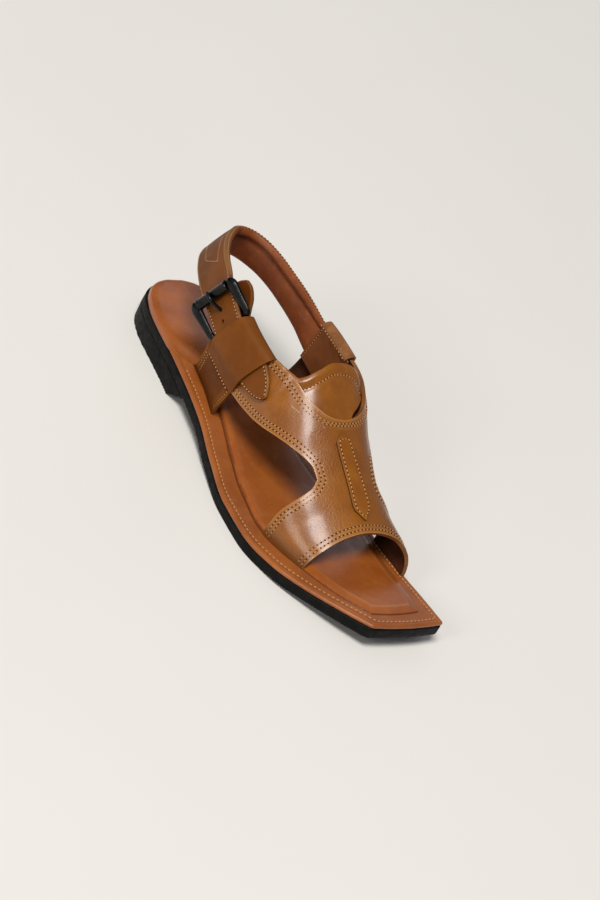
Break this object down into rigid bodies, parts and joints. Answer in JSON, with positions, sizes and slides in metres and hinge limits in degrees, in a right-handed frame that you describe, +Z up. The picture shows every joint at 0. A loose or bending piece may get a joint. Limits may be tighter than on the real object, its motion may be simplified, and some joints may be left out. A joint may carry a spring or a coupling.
{
  "type": "peshawari chappal",
  "caption": "Men's leather sandal for the right foot: crossed wide straps over the instep, an open square toe, a buckled heel strap and a low rubber heel.",
  "frame": {"origin": "bottom centre of the bounding box, on the ground", "axes": "+Z up, +Y from heel to toe, +X towards the little toe (lateral)"},
  "size_m": [0.0974, 0.2894, 0.0954],
  "materials": {
    "rubber": "matt black rubber",
    "welt_leather": "polished orange-tan leather, stitched",
    "footbed_leather": "smooth satin tan leather",
    "upper_leather": "golden-brown grained leather, polished",
    "lining_leather": "smooth brown leather",
    "gunmetal": "glossy gunmetal"
  },
  "bodies": {
    "root": {"outsole": "rubber", "heel": "rubber", "welt": "welt_leather", "footbed": "footbed_leather", "upper": "upper_leather", "tongue": "lining_leather", "heel_strap": "upper_leather", "keeper": "upper_leather", "medial_keeper": "upper_leather", "buckle_frame": "gunmetal", "buckle_roller": "gunmetal", "buckle_prong": "gunmetal"}
  },
  "joints": []
}
